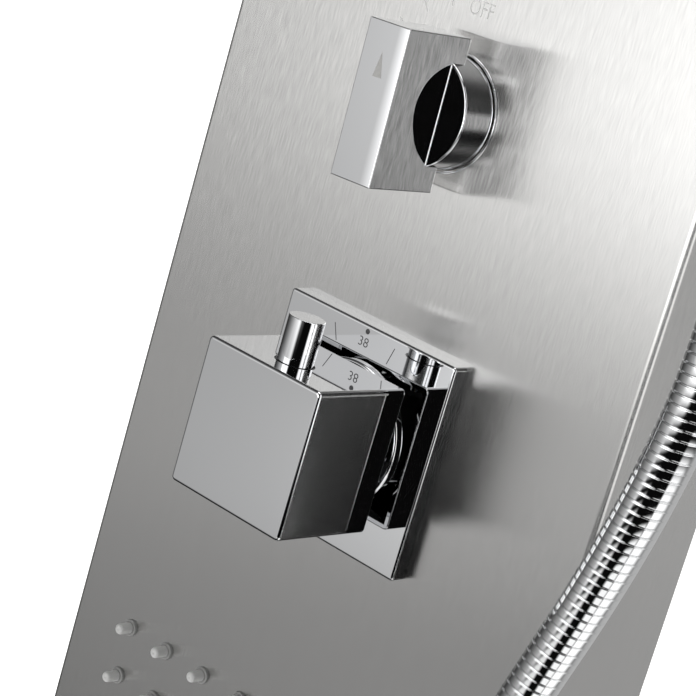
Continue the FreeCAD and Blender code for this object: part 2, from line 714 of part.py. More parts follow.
# ==== hand shower holder ====================================================
# Socket axis leans forward; its frame has +Z along the axis.
ring = cyl("z", 0, 0, -30, 17, 30)
socket = rounded(ring, 0.8, lambda e: flat_at(e, "z", 0) or flat_at(e, "z", -30), kind="Part::Chamfer")
socket.Placement = Placement(Vector(HDX.v, HDY.v, HDZ.v), Rotation(Vector(1, 0, 0), HDT.v))
socket.setExpression("Placement.Rotation.Angle", HDT.e)
put(socket, "Placement.Base.x", HDX)
put(socket, "Placement.Base.y", HDY)
put(socket, "Placement.Base.z", HDZ)
plate = rounded(box(HBX - 18, HBX + 18, -6, -0.02, HDZ - 26, HDZ + 26), 0.7, lambda e: flat_at(e, "y", -6) or along(e, EY), kind="Part::Chamfer")
post = rounded(box(HBX - 8, HBX + 8, HDY + 1, -5, HDZ - 18, HDZ - 2), 0.5, lambda e: along(e, EY))
barx = rounded(box(HBX - 8, HDX - 13.8, HDY - 8, HDY + 8, HDZ - 18, HDZ - 2), 0.5, lambda e: along(e, EX))
hold = fuse(socket, plate, post, barx)
gap = box(-8.4, 8.4, -30, 0, -40, 10)
taper = cone("z", 0, 0, -31, 10.85, 12.38, 32)
socket_room = fuse(gap, taper, name="SocketRoom")
socket_room.Placement = Placement(Vector(HDX.v, HDY.v, HDZ.v), Rotation(Vector(1, 0, 0), HDT.v))
socket_room.setExpression("Placement.Rotation.Angle", HDT.e)
put(socket_room, "Placement.Base.x", HDX)
put(socket_room, "Placement.Base.y", HDY)
put(socket_room, "Placement.Base.z", HDZ)
sock = [cyl("-y", HBX, 1, HDZ + k, 2.5, 6) for k in (17, -17)]
on_face(cut(hold, socket_room, *sock), "handset_holder")
screws = []
for k in (17, -17):
    screws.append(fuse(cyl("-y", HBX, ST, HDZ + k, 2.4, 6.2), cyl("y", HBX, ST + 0.02, HDZ + k, 4.5, 3.2)))
on_face(group(*screws), "holder_screws")

# ==== hand shower, in the frame of the socket ================================
hx, hy, hz = HDX, -CD + HDY, TZ + HDZ
b = new_body("HandsetBody")
s = new_sketch(b, "XY_Plane", 9)
rect(s, -13, 13, -10.5, 10.5)
pad(b, s, 221)
dress(b, "Fillet", 3.5, lambda e: along(e, EZ))
dress(b, "Fillet", 1.2, lambda e: flat_at(e, "z", 230) or flat_at(e, "z", 9))
s = new_sketch(b, "XZ_Plane", 10.5)
rect(s, -8.5, 8.5, 112, 222)
pocket(b, s, 3)
s = new_sketch(b, "XY_Plane", -4)
circle(s, 0, 0, HGR - 0.1, "nipple")
pad(b, s, 15)
s = new_sketch(b, "XY_Plane", -5)
circle(s, 0, 0, 5, "water")
pocket(b, s, 205, reverse=True)
place(b, "handset_body", hx, hy, hz, HDT)
strip = Part.makeBox(16.8, 2.6, 109.8, Vector(-8.4, -10.4, 112.1))
strip = strip.makeFillet(1.2, [e for e in strip.Edges if abs(e.BoundBox.YLength - 2.6) < 1e-6])
bits = []
dot = nozzle_shape(1.5, 1.45, 1.1, 2.4, 0.7, 0.4)
dot.rotate(Vector(0, 0, 0), Vector(1, 0, 0), -90)
for i in range(3):
    for j in range(12):
        k = dot.copy()
        k.translate(Vector(-5.2 + 5.2 * i, -10.3, 118.5 + 8.8 * j))
        bits.append(k)
o = doc.addObject("Part::Feature", "SprayPlate")
o.Shape = strip.fuse(bits)
place(o, "handset_spray_plate", hx, hy, hz, HDT)
b = new_body("ConeNut")
s = new_sketch(b, "XZ_Plane")
outline(s, [(4.5, -44), (8.4, -44), (9.6, -38.3), (10.2, -38), (12.4, 8.0), (HGR - 0.05, 8.5), (HGR - 0.05, -5.5), (4.5, -5.5)])
rev = b.newObject("PartDesign::Revolution", "Revolution")
rev.Profile = s
rev.ReferenceAxis = (s, ["V_Axis"])
rev.Angle = 360
doc.recompute()
place(b, "hose_cone_nut", hx, hy, hz, HDT)

# ==== rain shower ============================================================
b = new_body("ArmFlange")
s = new_sketch(b, "XZ_Plane")
rect(s, -30, 30, -30, 30)
pad(b, s, 6)
dress(b, "Fillet", 1.2, lambda e: along(e, EY))
dress(b, "Chamfer", 0.7, lambda e: flat_at(e, "y", -6))
s = new_sketch(b, "XZ_Plane")
circle(s, 0, 0, HGR + 0.1, "hole")
pocket(b, s, both=True)
on_face(b, "arm_flange", ARZ)
arm = rounded(box(-ARW / 2, ARW / 2, -ARL, -6.02, -ARH / 2, ARH / 2), 1.0, lambda e: True)
arm = fuse(arm, cyl("y", 0, -7, 0, HGR, 11))
arm = cut(arm, box(-ARW / 2 + 2.5, ARW / 2 - 2.5, -ARL + 3, -10, -ARH / 2 + 2.5, ARH / 2 - 2.5), cyl("y", 0, -12, 0, 5, 17),
          cyl("-z", 0, BLY, 0, 5, 10))
on_face(arm, "rain_arm", ARZ)
conn = cut(box(-14, 14, 4.05, 44, -14, 14), cyl("y", 0, 3, 0, 5, 31), cyl("-z", 0, 31, 0, PIR - PWALL, 16))
on_face(conn, "arm_connector", ARZ)


# The ball joint: frame at the ball's centre.
def on_ball(o, label):
    return place(o, label, 0, -CD + BLY, TZ + ARZ - BLD)


top = BLD - ARH / 2
stud = fuse(ball(0, 0, 0, BLR), cyl("z", 0, 0, 0, 6, 18), cyl("z", 0, 0, top - 8, 9.5, 7.98))
on_ball(cut(stud, cyl("-z", 0, 0, top + 1, 3, 40)), "ball_stud")


def seat_ring(z0, z1, r_in):
    shell = cut(ball(0, 0, 0, BLR + 2), ball(0, 0, 0, BLR + 0.05))
    return common(shell, cyl("z", 0, 0, z0, 20, z1 - z0))


on_ball(seat_ring(-7.5, -2, 0), "lower_seat_ring")
on_ball(seat_ring(2, 7, 0), "upper_seat_ring")
cavity = BLR + 2.05
collar = cut(cyl("z", 0, 0, -8, 21, 17), cyl("z", 0, 0, -9, 19.05, 9.05), ball(0, 0, 0, cavity))
collar = rounded(collar, 1.0, lambda e: flat_at(e, "z", 9) and e.BoundBox.XLength > 40, kind="Part::Chamfer")
on_ball(collar, "ball_collar")

# Rain head: flat square shell with its socket, face plate and nozzle mat.
HH = RHS / 2
b = new_body("RainHead")
s = new_sketch(b, "XY_Plane", -RHD - RHT)
rect(s, -HH, HH, -HH, HH)
pad(b, s, RHT)
dress(b, "Fillet", 5, lambda e: along(e, EZ))
dress(b, "Fillet", 1.0, lambda e: flat_at(e, "z", -RHD.v) or flat_at(e, "z", -RHD.v - RHT.v))
s = new_sketch(b, "XY_Plane", -RHD)
circle(s, 0, 0, 19, "socket")
pad(b, s, RHD)
s = new_sketch(b, "XY_Plane", -RHD - RHT)
rect(s, -HH + 2, HH - 2, -HH + 2, HH - 2)
pocket(b, s, RHT - 1.5, reverse=True)
b.Label = "RainHeadBlank"
head = cut(b, ball(0, 0, 0, cavity), cyl("-z", 0, 0, 0, 4, 40))
on_ball(head, "rain_head_shell")
face = rounded(box(-HH + 2.1, HH - 2.1, -HH + 2.1, HH - 2.1, -RHD - RHT, -RHD - RHT + 1.2), 3.0, lambda e: along(e, EZ))
cs = [(i - 4.5) * RNP.v for i in range(10)]
holes = Part.makeCompound([Part.makeCylinder(2.4, 6, Vector(x, y, -RHD.v - RHT.v - 2)) for x in cs for y in cs])
ho = doc.addObject("Part::Feature", "FaceHoles")
ho.Shape = holes
on_ball(cut(face, ho), "rain_face_plate")
side = HH.v - 4
mat = Part.makeBox(2 * side, 2 * side, 1.5, Vector(-side, -side, -RHD.v - RHT.v + 1.25))
one = nozzle_shape(2.3, 2.25, 1.8, 4.6, 1.9, 0.5)
bits = []
for x in cs:
    for y in cs:
        k = one.copy()
        k.translate(Vector(x, y, -RHD.v - RHT.v + 1.6))
        bits.append(k)
o = doc.addObject("Part::Feature", "RainNozzles")
o.Shape = mat.fuse(bits)
on_ball(o, "rain_nozzle_mat")

# ==== the hose ===============================================================
# From the hose nut up to the cone nut of the hand shower, 15.5 mm metal hose.
tilt = math.radians(HDT.v)
lean = Vector(0, math.sin(tilt), -math.cos(tilt))
S = L(HDX, HDY, HDZ)
top_end = S + lean * 44.05
route = [
    top_end,
    top_end + lean * 47,
    L(137.4, -28.0, 50),
    L(95.8, -28.0, -90),
    L(86.5, -33.0, -225),
    L(87.5, -35.0, -370),
    L(97.0, -36.5, -495),
    L(107.0, -37.0, -600),
    L(108.5, -37.0, -694),
    L(71.4, -36.5, -746),
    L(12.0, -35.8, -765),
    L(-47.4, -34.8, -745),
    L(-84.0, -33.5, -694),
    L(-86.0, -32.4, -610),
    L(-79.0, -31.4, -520),
    L(-66.0, -30.3, -460),
    L(OUX, -30, -OUZ.v - 85),
    L(OUX, -30, -OUZ.v - 45.05),
]
hose, radii, length = swept(route, HOS.v)
print("hose radii", radii, "runs", [round((b_ - a_).Length) for a_, b_ in zip(route, route[1:])])
print("hose length %.1f volume %.0f section x length %.0f" % (length, hose.Volume, math.pi * HOS.v ** 2 * length))
print("hose lowest", round(hose.BoundBox.ZMin - TZ.v, 1))
o = doc.addObject("Part::Feature", "Hose")
o.Shape = hose
o.Label = "shower_hose"
nodes.append(o)

# ==== check and write ========================================================
doc.recompute()
bad = [ob.Name + " " + "/".join(ob.State) for ob in doc.Objects if "Invalid" in ob.State or "Error" in ob.State]
for ob in nodes:
    sh = ob.Shape
    if sh.isNull() or not sh.isValid() or not sh.Solids:
        bad.append("shape of " + ob.Label)
if len({ob.Label for ob in nodes}) != len(nodes):
    bad.append("two sub-parts share a name")
if bad:
    raise SystemExit("not written: " + ", ".join(bad))
os.makedirs("parts", exist_ok=True)
for ob in nodes:
    ob.Shape.exportStep("parts/%s.step" % ob.Label)
print(len(nodes), "sub-parts written")
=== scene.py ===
import json
import math

import bmesh
import bpy
import numpy as np
from mathutils import Matrix, Vector


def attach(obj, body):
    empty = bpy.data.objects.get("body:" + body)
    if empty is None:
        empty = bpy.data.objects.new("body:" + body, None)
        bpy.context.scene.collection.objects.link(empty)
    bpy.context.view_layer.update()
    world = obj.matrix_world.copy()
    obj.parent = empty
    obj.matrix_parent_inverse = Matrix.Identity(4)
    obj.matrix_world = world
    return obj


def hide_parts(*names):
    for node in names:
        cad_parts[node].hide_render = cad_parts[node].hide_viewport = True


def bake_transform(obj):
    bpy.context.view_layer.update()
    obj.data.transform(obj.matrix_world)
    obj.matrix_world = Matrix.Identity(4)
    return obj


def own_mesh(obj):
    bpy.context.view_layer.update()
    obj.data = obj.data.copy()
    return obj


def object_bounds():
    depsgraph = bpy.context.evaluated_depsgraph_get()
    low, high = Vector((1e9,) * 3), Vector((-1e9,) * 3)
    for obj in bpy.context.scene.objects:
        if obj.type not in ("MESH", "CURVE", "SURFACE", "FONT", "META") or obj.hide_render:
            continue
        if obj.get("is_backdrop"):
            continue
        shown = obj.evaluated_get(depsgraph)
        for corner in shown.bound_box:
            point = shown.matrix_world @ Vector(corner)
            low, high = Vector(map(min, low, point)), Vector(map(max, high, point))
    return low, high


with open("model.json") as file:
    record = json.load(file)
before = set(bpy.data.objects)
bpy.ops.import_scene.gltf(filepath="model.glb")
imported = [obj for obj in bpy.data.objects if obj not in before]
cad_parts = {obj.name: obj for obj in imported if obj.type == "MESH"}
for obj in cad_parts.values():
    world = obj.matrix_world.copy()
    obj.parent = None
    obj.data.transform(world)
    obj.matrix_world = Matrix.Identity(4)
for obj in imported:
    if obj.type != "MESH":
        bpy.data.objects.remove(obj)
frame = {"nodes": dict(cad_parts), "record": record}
nodes = frame["nodes"]
cad_lo, cad_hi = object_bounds()
scene = bpy.context.scene


def W(x, y, z):
    """A point given from the thermostat axis on the panel's front face, in mm, in the row frame in metres."""
    return Vector((x / 1000, (y - 60.0) / 1000, (z - 215.0) / 1000))


# ---- camera ---------------------------------------------------------------
right = Vector((0.70979, 0.64973, 0.27212))
down = Vector((0.36427, -0.00792, -0.93126))
ahead = Vector((-0.60291, 0.76013, -0.24230))
cam = bpy.data.objects.new("camera", bpy.data.cameras.new("camera"))
scene.collection.objects.link(cam)
cam.data.sensor_width = 36.0
cam.data.lens = 119.28
cam.data.clip_start, cam.data.clip_end = 0.01, 100
place = Matrix((right, -down, -ahead)).transposed().to_4x4()
place.translation = (0.44882, -0.64099, -0.00494)
cam.matrix_world = place
scene.camera = cam
scene.view_settings.view_transform = "Standard"

# ---- the hose ---------------------------------------------------------------
HOSE_D = 0.0155
top = Vector((0.1328, -0.1115, 0.010))
lean = Vector((0, math.sin(math.radians(15)), -math.cos(math.radians(15))))
route = [
    top + lean * 0.04405,
    top + lean * 0.09105,
    W(137.4, -28.0, 50),
    W(95.8, -28.0, -90),
    W(86.5, -33.0, -225),
    W(87.5, -35.0, -370),
    W(97.0, -36.5, -495),
    W(107.0, -37.0, -600),
    W(108.5, -37.0, -694),
    W(71.4, -36.5, -746),
    W(12.0, -35.8, -765),
    W(-47.4, -34.8, -745),
    W(-84.0, -33.5, -694),
    W(-86.0, -32.4, -610),
    W(-79.0, -31.4, -520),
    W(-66.0, -30.3, -460),
    W(-62.0, -30.0, -415),
    W(-62.0, -30.0, -375.05),
]


def read_line(points, steps=24):
    """Points of the smooth line that has these control points."""
    c = bpy.data.curves.new("line", "CURVE")
    c.dimensions = "3D"
    c.resolution_u = steps
    sp = c.splines.new("NURBS")
    sp.points.add(len(points) - 1)
    for p, q in zip(sp.points, points):
        p.co = (*q, 1)
    sp.order_u = 3
    sp.use_endpoint_u = True
    o = bpy.data.objects.new("line", c)
    scene.collection.objects.link(o)
    bpy.context.view_layer.update()
    m = bpy.data.meshes.new_from_object(o)
    found = [v.co.copy() for v in m.vertices]
    bpy.data.objects.remove(o)
    bpy.data.meshes.remove(m)
    return found


def carried_frames(pts):
    """Tangents and a normal carried along a line without twisting."""
    p = np.array([tuple(v) for v in pts])
    t = np.gradient(p, axis=0)
    t /= np.linalg.norm(t, axis=1)[:, None]
    n = np.zeros_like(p)
    start = np.array((0.0, -1.0, 0.0))
    n[0] = start - t[0] * start.dot(t[0])
    n[0] /= np.linalg.norm(n[0])
    for i in range(1, len(p)):
        v = n[i - 1] - t[i] * n[i - 1].dot(t[i])
        n[i] = v / np.linalg.norm(v)
    return p, t, n


line = read_line(route)


def wound_hose(name, pts, r_out, pitch, sides=40):
    """A metal hose: one wound strip, its rounded back outward, closed at both ends."""
    p, t, n = carried_frames(pts)
    s = np.concatenate([[0], np.cumsum(np.linalg.norm(np.diff(p, axis=0), axis=1))])
    length = s[-1]
    # Across one turn of the strip: (place along the pitch, depth below the back).
    strip = [(0.00, 0.42), (0.03, 0.40), (0.05, 0.12), (0.08, 0.03), (0.115, 0.003), (0.15, 0.0), (0.50, -0.004), (0.82, 0.0), (0.855, 0.003), (0.89, 0.03), (0.92, 0.12), (0.94, 0.40)]
    k = len(strip)
    turns = int((length - 0.004) / pitch) - 1
    s0 = (length - turns * pitch) / 2
    rows = (s0 + (np.arange(turns)[:, None] + np.array([u for u, d in strip])[None, :]) * pitch).ravel()
    depth = np.tile([(d + 0.004) * 0.001 for u, d in strip], turns)
    angle = 2 * math.pi * np.arange(sides) / sides

    def rings(at, r, lead):
        """A ring of points for each place along the line, running on by lead as it goes round."""
        where = np.clip(at[:, None] + lead * np.arange(sides)[None, :] / sides, 0, length)
        c, tt, nn = (np.stack([np.interp(where, s, q[:, a]) for a in range(3)], -1) for q in (p, t, n))
        tt /= np.linalg.norm(tt, axis=-1, keepdims=True)
        nn -= tt * (nn * tt).sum(-1, keepdims=True)
        nn /= np.linalg.norm(nn, axis=-1, keepdims=True)
        out = nn * np.cos(angle)[None, :, None] + np.cross(tt, nn) * np.sin(angle)[None, :, None]
        return (c + out * r[:, None, None]).reshape(-1, 3)

    co = rings(rows, r_out - depth, pitch)
    total = len(rows)
    i, j = np.meshgrid(np.arange(total - 1), np.arange(sides - 1), indexing="ij")
    a = (i * sides + j).ravel()
    body = np.stack([a, a + 1, a + 1 + sides, a + sides], -1)
    # the last side of a turn runs on into the next turn
    i = np.arange(total - 1 - k)
    a, c = i * sides + sides - 1, (i + k) * sides
    seam = np.stack([a, c, c + sides, a + sides], -1)
    m = bpy.data.meshes.new(name)
    m.from_pydata(co.tolist(), [], np.concatenate([body, seam]).tolist())
    bm = bmesh.new()
    bm.from_mesh(m)
    # plain sleeves close the two ends, inside the nuts
    for at, at2 in ((0.0, s0 + pitch * 1.3), (length, length - s0 - pitch * 0.9)):
        ends = rings(np.array([at, at2]), np.full(2, r_out - 0.0009), 0.0)
        vs = [bm.verts.new(v) for v in ends.tolist()]
        for j in range(sides):
            bm.faces.new((vs[j], vs[(j + 1) % sides], vs[(j + 1) % sides + sides], vs[j + sides]))
        bm.faces.new(vs[:sides])
        bm.faces.new(vs[sides:])
    bmesh.ops.recalc_face_normals(bm, faces=bm.faces)
    bm.to_mesh(m)
    bm.free()
    for f in m.polygons:
        f.use_smooth = True
    o = bpy.data.objects.new(name, m)
    scene.collection.objects.link(o)
    return o, length


hose, hose_length = wound_hose("metal_hose", line, HOSE_D / 2, 0.00308)
print("hose length", round(hose_length, 4))
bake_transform(hose)
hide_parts("shower_hose")


# ---- node helpers -------------------------------------------------------------
class Net:
    """Builds a node tree with short calls. Values are numbers or sockets."""

    def __init__(self, tree):
        self.t = tree
        tree.nodes.clear()

    def new(self, kind, **props):
        n = self.t.nodes.new(kind)
        for k, v in props.items():
            setattr(n, k, v)
        return n

    def put(self, socket, value):
        if isinstance(value, bpy.types.NodeSocket):
            self.t.links.new(value, socket)
        else:
            socket.default_value = value

    def math(self, op, a, b=0.0, clamp=False):
        n = self.new("ShaderNodeMath", operation=op, use_clamp=clamp)
        self.put(n.inputs[0], a)
        self.put(n.inputs[1], b)
        return n.outputs[0]

    def add(self, *v):
        out = v[0]
        for x in v[1:]:
            out = self.math("ADD", out, x)
        return out

    def mul(self, *v):
        out = v[0]
        for x in v[1:]:
            out = self.math("MULTIPLY", out, x)
        return out

    def ease(self, v, a, b, c=0.0, d=1.0):
        """Runs smoothly from c at a to d at b."""
        n = self.new("ShaderNodeMapRange", interpolation_type="SMOOTHSTEP")
        self.put(n.inputs["Value"], v)
        for k, x in zip(("From Min", "From Max", "To Min", "To Max"), (a, b, c, d)):
            n.inputs[k].default_value = x
        return n.outputs["Result"]

    def ramp(self, v, *stops):
        n = self.new("ShaderNodeValToRGB")
        e = n.color_ramp.elements
        while len(e) < len(stops):
            e.new(0.5)
        for x, (pos, col) in zip(e, stops):
            x.position = pos
            x.color = (*col, 1) if hasattr(col, "__len__") else (col, col, col, 1)
        self.put(n.inputs["Fac"], v)
        return n.outputs["Color"]

    def noise(self, vec, scale, detail=3.0, rough=0.5):
        n = self.new("ShaderNodeTexNoise")
        self.put(n.inputs["Vector"], vec)
        n.inputs["Scale"].default_value = scale
        n.inputs["Detail"].default_value = detail
        n.inputs["Roughness"].default_value = rough
        return n.outputs["Fac"]

    def stretched(self, scale):
        """Object coordinates multiplied along each axis."""
        c = self.new("ShaderNodeTexCoord")
        m = self.new("ShaderNodeMapping")
        m.inputs["Scale"].default_value = scale
        self.put(m.inputs["Vector"], c.outputs["Object"])
        return m.outputs["Vector"]

    def tint(self, v, low, high):
        """A colour between two, by a value from 0 to 1."""
        return self.ramp(v, (0.0, low), (1.0, high))

    def bump(self, height, strength, distance):
        n = self.new("ShaderNodeBump")
        n.inputs["Strength"].default_value = strength
        n.inputs["Distance"].default_value = distance
        self.put(n.inputs["Height"], height)
        return n.outputs["Normal"]


def material(name, **values):
    m = bpy.data.materials.new(name)
    m.use_nodes = True
    net = Net(m.node_tree)
    out = net.new("ShaderNodeOutputMaterial")
    b = net.new("ShaderNodeBsdfPrincipled")
    m.node_tree.links.new(b.outputs["BSDF"], out.inputs["Surface"])
    for k, v in values.items():
        b.inputs[k.replace("_", " ")].default_value = v
    return m, net, b


def brushed(name, low, high, rough, aniso=0.9, axis="z", fine=2600.0, streak=55.0, relief=0.25):
    """Sheet with a one-way brushed grain, so reflections spread across the grain."""
    m, net, b = material(name, Metallic=1.0, Anisotropic=aniso)
    lanes = {"z": (fine, fine, streak), "x": (streak, fine, fine)}[axis]
    grain = net.noise(net.stretched(lanes), 1.0, 2.0, 0.6)
    broad = net.noise(net.stretched(tuple(v * 0.22 for v in lanes)), 1.0, 2.0, 0.5)
    cloud = net.noise(net.stretched((6.0, 6.0, 3.0)), 1.0, 1.0, 0.5)
    mixed = net.add(net.mul(grain, 0.72), net.mul(broad, 0.16), net.mul(cloud, 0.12))
    net.put(b.inputs["Base Color"], net.ramp(mixed, (0.30, low), (0.70, high)))
    net.put(b.inputs["Roughness"], net.ease(grain, 0.25, 0.75, rough - 0.02, rough + 0.03))
    net.put(b.inputs["Normal"], net.bump(grain, relief, 0.00002))
    geo = net.new("ShaderNodeNewGeometry")
    cross = net.new("ShaderNodeVectorMath", operation="CROSS_PRODUCT")
    cross.inputs[0].default_value = {"z": (0, 0, 1), "x": (1, 0, 0)}[axis]
    net.put(cross.inputs[1], geo.outputs["Normal"])
    unit = net.new("ShaderNodeVectorMath", operation="NORMALIZE")
    net.put(unit.inputs[0], cross.outputs[0])
    net.put(b.inputs["Tangent"], unit.outputs[0])
    return m


def polished(name, base, rough=0.02, marks=0.012, grain=None):
    """Plated metal: a clean mirror with faint wiping marks in its gloss."""
    m, net, b = material(name, Metallic=1.0)
    wipe = net.noise(net.stretched((90.0, 90.0, 90.0)), 1.0, 4.0, 0.6)
    net.put(b.inputs["Roughness"], net.ease(wipe, 0.35, 0.75, rough, rough + marks))
    shade = net.noise(net.stretched((25.0, 25.0, 25.0)), 1.0, 2.0, 0.5)
    net.put(b.inputs["Base Color"], net.ramp(shade, (0.3, tuple(c * 0.985 for c in base)), (0.7, base)))
    return m


def cast(name, low, high, rough, metallic=1.0, scale=500.0, relief=0.15, distance=0.0002, stretch=(1, 1, 1)):
    """Metal, plastic or rubber with a fine surface of its own and uneven colour."""
    m, net, b = material(name, Metallic=metallic)
    vec = net.stretched(stretch)
    fine = net.noise(vec, scale, 4.0, 0.6)
    soft = net.noise(vec, scale * 0.06, 3.0, 0.5)
    net.put(b.inputs["Base Color"], net.ramp(soft, (0.35, low), (0.65, high)))
    net.put(b.inputs["Roughness"], net.ease(fine, 0.3, 0.7, rough - 0.06, rough + 0.06))
    net.put(b.inputs["Normal"], net.bump(fine, relief, distance))
    return m


MATS = {
    "brushed_panel": brushed("brushed_panel", (0.660, 0.655, 0.645), (0.734, 0.729, 0.715), 0.180, aniso=1.0, streak=130.0, relief=0.008),
    "bracket_steel": cast("bracket_steel", (0.50, 0.51, 0.52), (0.62, 0.63, 0.64), 0.42, scale=220.0),
    "bright_chrome": polished("bright_chrome", (0.87, 0.875, 0.885)),
    "hose_chrome": polished("hose_chrome", (0.86, 0.865, 0.87), 0.05, 0.03),
    "raw_brass": cast("raw_brass", (0.62, 0.46, 0.22), (0.74, 0.58, 0.31), 0.34, scale=700.0),
    "copper_pipe": cast("copper_pipe", (0.62, 0.33, 0.20), (0.78, 0.46, 0.30), 0.30, scale=300.0, relief=0.06),
    "grey_silicone": cast("grey_silicone", (0.50, 0.50, 0.49), (0.56, 0.56, 0.55), 0.50, metallic=0.0, scale=1400.0, relief=0.2, distance=0.00005),
    "black_rubber": cast("black_rubber", (0.012, 0.012, 0.012), (0.022, 0.022, 0.022), 0.62, metallic=0.0, scale=1600.0),
    "white_plastic": cast("white_plastic", (0.70, 0.70, 0.67), (0.77, 0.77, 0.75), 0.42, metallic=0.0, scale=1200.0, relief=0.12),
    "dark_plastic": cast("dark_plastic", (0.02, 0.02, 0.021), (0.035, 0.035, 0.036), 0.40, metallic=0.0, scale=1500.0, relief=0.15),
    "spring_steel": cast("spring_steel", (0.52, 0.52, 0.53), (0.66, 0.66, 0.67), 0.26, scale=900.0, relief=0.08),
}

for sub in frame["record"]["subparts"]:
    o = nodes[sub["node"]]
    o.data.materials.clear()
    o.data.materials.append(MATS[sub["material_slot"]])

# The bar's front face falls away softly towards its right edge.
bar_chrome, net, b = material("bar_chrome", Metallic=1.0)
wipe = net.noise(net.stretched((90.0, 90.0, 90.0)), 1.0, 4.0, 0.6)
net.put(b.inputs["Roughness"], net.ease(wipe, 0.35, 0.75, 0.02, 0.032))
net.put(b.inputs["Base Color"], net.ramp(net.noise(net.stretched((25.0, 25.0, 25.0)), 1.0, 2.0), (0.3, (0.857, 0.862, 0.872)), (0.7, (0.87, 0.875, 0.885))))
lean_by = math.radians(1.8)
across = net.new("ShaderNodeVectorMath", operation="DOT_PRODUCT")
across.inputs[1].default_value = (math.cos(lean_by), 0, math.sin(lean_by))
net.put(across.inputs[0], net.stretched((1, 1, 1)))
middle = W(0, 0, 110.7).dot(Vector((math.cos(lean_by), 0, math.sin(lean_by))))
past = net.math("MAXIMUM", net.add(across.outputs["Value"], -middle - 0.0040), 0.0)
net.put(b.inputs["Normal"], net.bump(net.mul(past, past, -8.0), 1.0, 1.0))
nodes["diverter_bar"].data.materials[0] = bar_chrome
print("bar at", [tuple(round(x, 4) for x in r) for r in nodes["diverter_bar"].matrix_world])
hose.data.materials.append(MATS["hose_chrome"])

ink, net, b = material("mark_ink", Metallic=0.0, Roughness=0.55)
tone = net.noise(net.stretched((900, 900, 900)), 1.0, 2.0, 0.5)
net.put(b.inputs["Base Color"], net.ramp(tone, (0.3, (0.07, 0.07, 0.072)), (0.7, (0.105, 0.105, 0.107))))
etch, net, b = material("mark_etch", Metallic=0.6, Roughness=0.6)
tone = net.noise(net.stretched((900, 900, 900)), 1.0, 2.0, 0.5)
net.put(b.inputs["Base Color"], net.ramp(tone, (0.3, (0.80, 0.795, 0.78)), (0.7, (0.86, 0.855, 0.84))))

arrow, net, b = material("mark_arrow", Metallic=0.6, Roughness=0.6)
tone = net.noise(net.stretched((900, 900, 900)), 1.0, 2.0, 0.5)
net.put(b.inputs["Base Color"], net.ramp(tone, (0.3, (0.51, 0.505, 0.49)), (0.7, (0.56, 0.555, 0.54))))

# The jets are pale; their collars, close to the panel, are painted darker: painted shade for the shade that falls
# round each collar.
jet_silicone, net, b = material("jet_silicone", Metallic=0.0, Roughness=0.46)
soft = net.noise(net.stretched((1, 1, 1)), 90.0, 3.0, 0.5)
fine = net.noise(net.stretched((1, 1, 1)), 1400.0, 4.0, 0.6)
part = net.new("ShaderNodeSeparateXYZ")
net.put(part.inputs[0], net.stretched((1, 1, 1)))
pale = net.new("ShaderNodeMix", data_type="RGBA")
# Painted shade: colour by depth, darker on the collar within about 1.1 mm of the panel, pale on the tip further out.
net.put(pale.inputs[0], net.ease(part.outputs["Y"], -0.0611, -0.0613))
net.put(pale.inputs[6], net.ramp(soft, (0.35, (0.27, 0.27, 0.265)), (0.65, (0.31, 0.31, 0.305))))
net.put(pale.inputs[7], net.ramp(soft, (0.35, (0.51, 0.51, 0.50)), (0.65, (0.57, 0.57, 0.56))))
net.put(b.inputs["Base Color"], pale.outputs[2])
net.put(b.inputs["Normal"], net.bump(fine, 0.15, 0.00005))


# ---- soft nozzles ---------------------------------------------------------------
def lathe(bm, origin, axis, profile, sides=40):
    """Turns (radius, distance along axis) pairs about an axis. The ends on radius 0 are points."""
    axis = Vector(axis).normalized()
    u = axis.orthogonal().normalized()
    v = axis.cross(u)
    rings = []
    for r, d in profile:
        c = Vector(origin) + axis * d
        if r < 1e-9:
            rings.append([bm.verts.new(c)])
        else:
            rings.append([bm.verts.new(c + (u * math.cos(2 * math.pi * j / sides) + v * math.sin(2 * math.pi * j / sides)) * r) for j in range(sides)])
    for a, b_ in zip(rings, rings[1:]):
        for j in range(sides):
            k = (j + 1) % sides
            q = [a[j % len(a)], a[k % len(a)], b_[k % len(b_)], b_[j % len(b_)]]
            q = list(dict.fromkeys(q))
            if len(q) > 2:
                bm.faces.new(q)


def arc(r0, d0, r1, d1, n=5, bulge=True):
    """A quarter round from one profile point to the next."""
    out = []
    for i in range(1, n + 1):
        a = math.pi / 2 * i / n
        f, g = (math.sin(a), 1 - math.cos(a)) if bulge else (1 - math.cos(a), math.sin(a))
        out.append((r0 + (r1 - r0) * g, d0 + (d1 - d0) * f))
    return out


def finish_mesh(name, bm, slot, body, mat=None, smooth=35.0):
    bmesh.ops.recalc_face_normals(bm, faces=bm.faces)
    m = bpy.data.meshes.new(name)
    bm.to_mesh(m)
    bm.free()
    for f in m.polygons:
        f.use_smooth = True
    m.set_sharp_from_angle(angle=math.radians(smooth))
    o = bpy.data.objects.new(name, m)
    scene.collection.objects.link(o)
    o.data.materials.append(mat or MATS[slot])
    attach(o, body)
    return o


